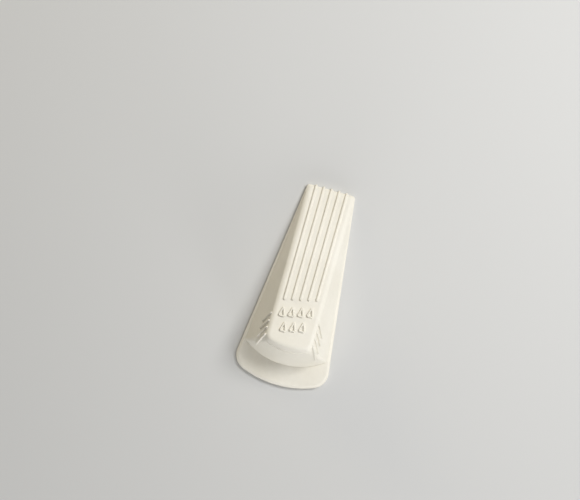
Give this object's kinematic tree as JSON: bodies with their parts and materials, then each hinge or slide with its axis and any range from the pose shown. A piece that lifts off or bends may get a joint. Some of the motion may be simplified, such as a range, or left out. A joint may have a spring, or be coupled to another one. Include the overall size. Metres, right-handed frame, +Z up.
{
  "type": "door wedge",
  "caption": "Tapered rubber door wedge with a wide foot plate, a ribbed ramp, a round drafted heel and slanted finger grips on its sides.",
  "frame": {"origin": "on the floor, under the middle of the footprint's bounding box", "axes": "+Y towards the thin tip, +X to the right seen from above with the tip ahead, +Z up"},
  "size_m": [0.057, 0.1222, 0.0318],
  "materials": {
    "rubber": "matte"
  },
  "bodies": {
    "root": {"wedge_body": "rubber", "foot_flange": "rubber", "ramp_ribs": "rubber", "finger_grips_left": "rubber", "finger_grips_right": "rubber", "raised_mark": "rubber", "heel_bead": "rubber", "sole_tread": "rubber"}
  },
  "joints": []
}
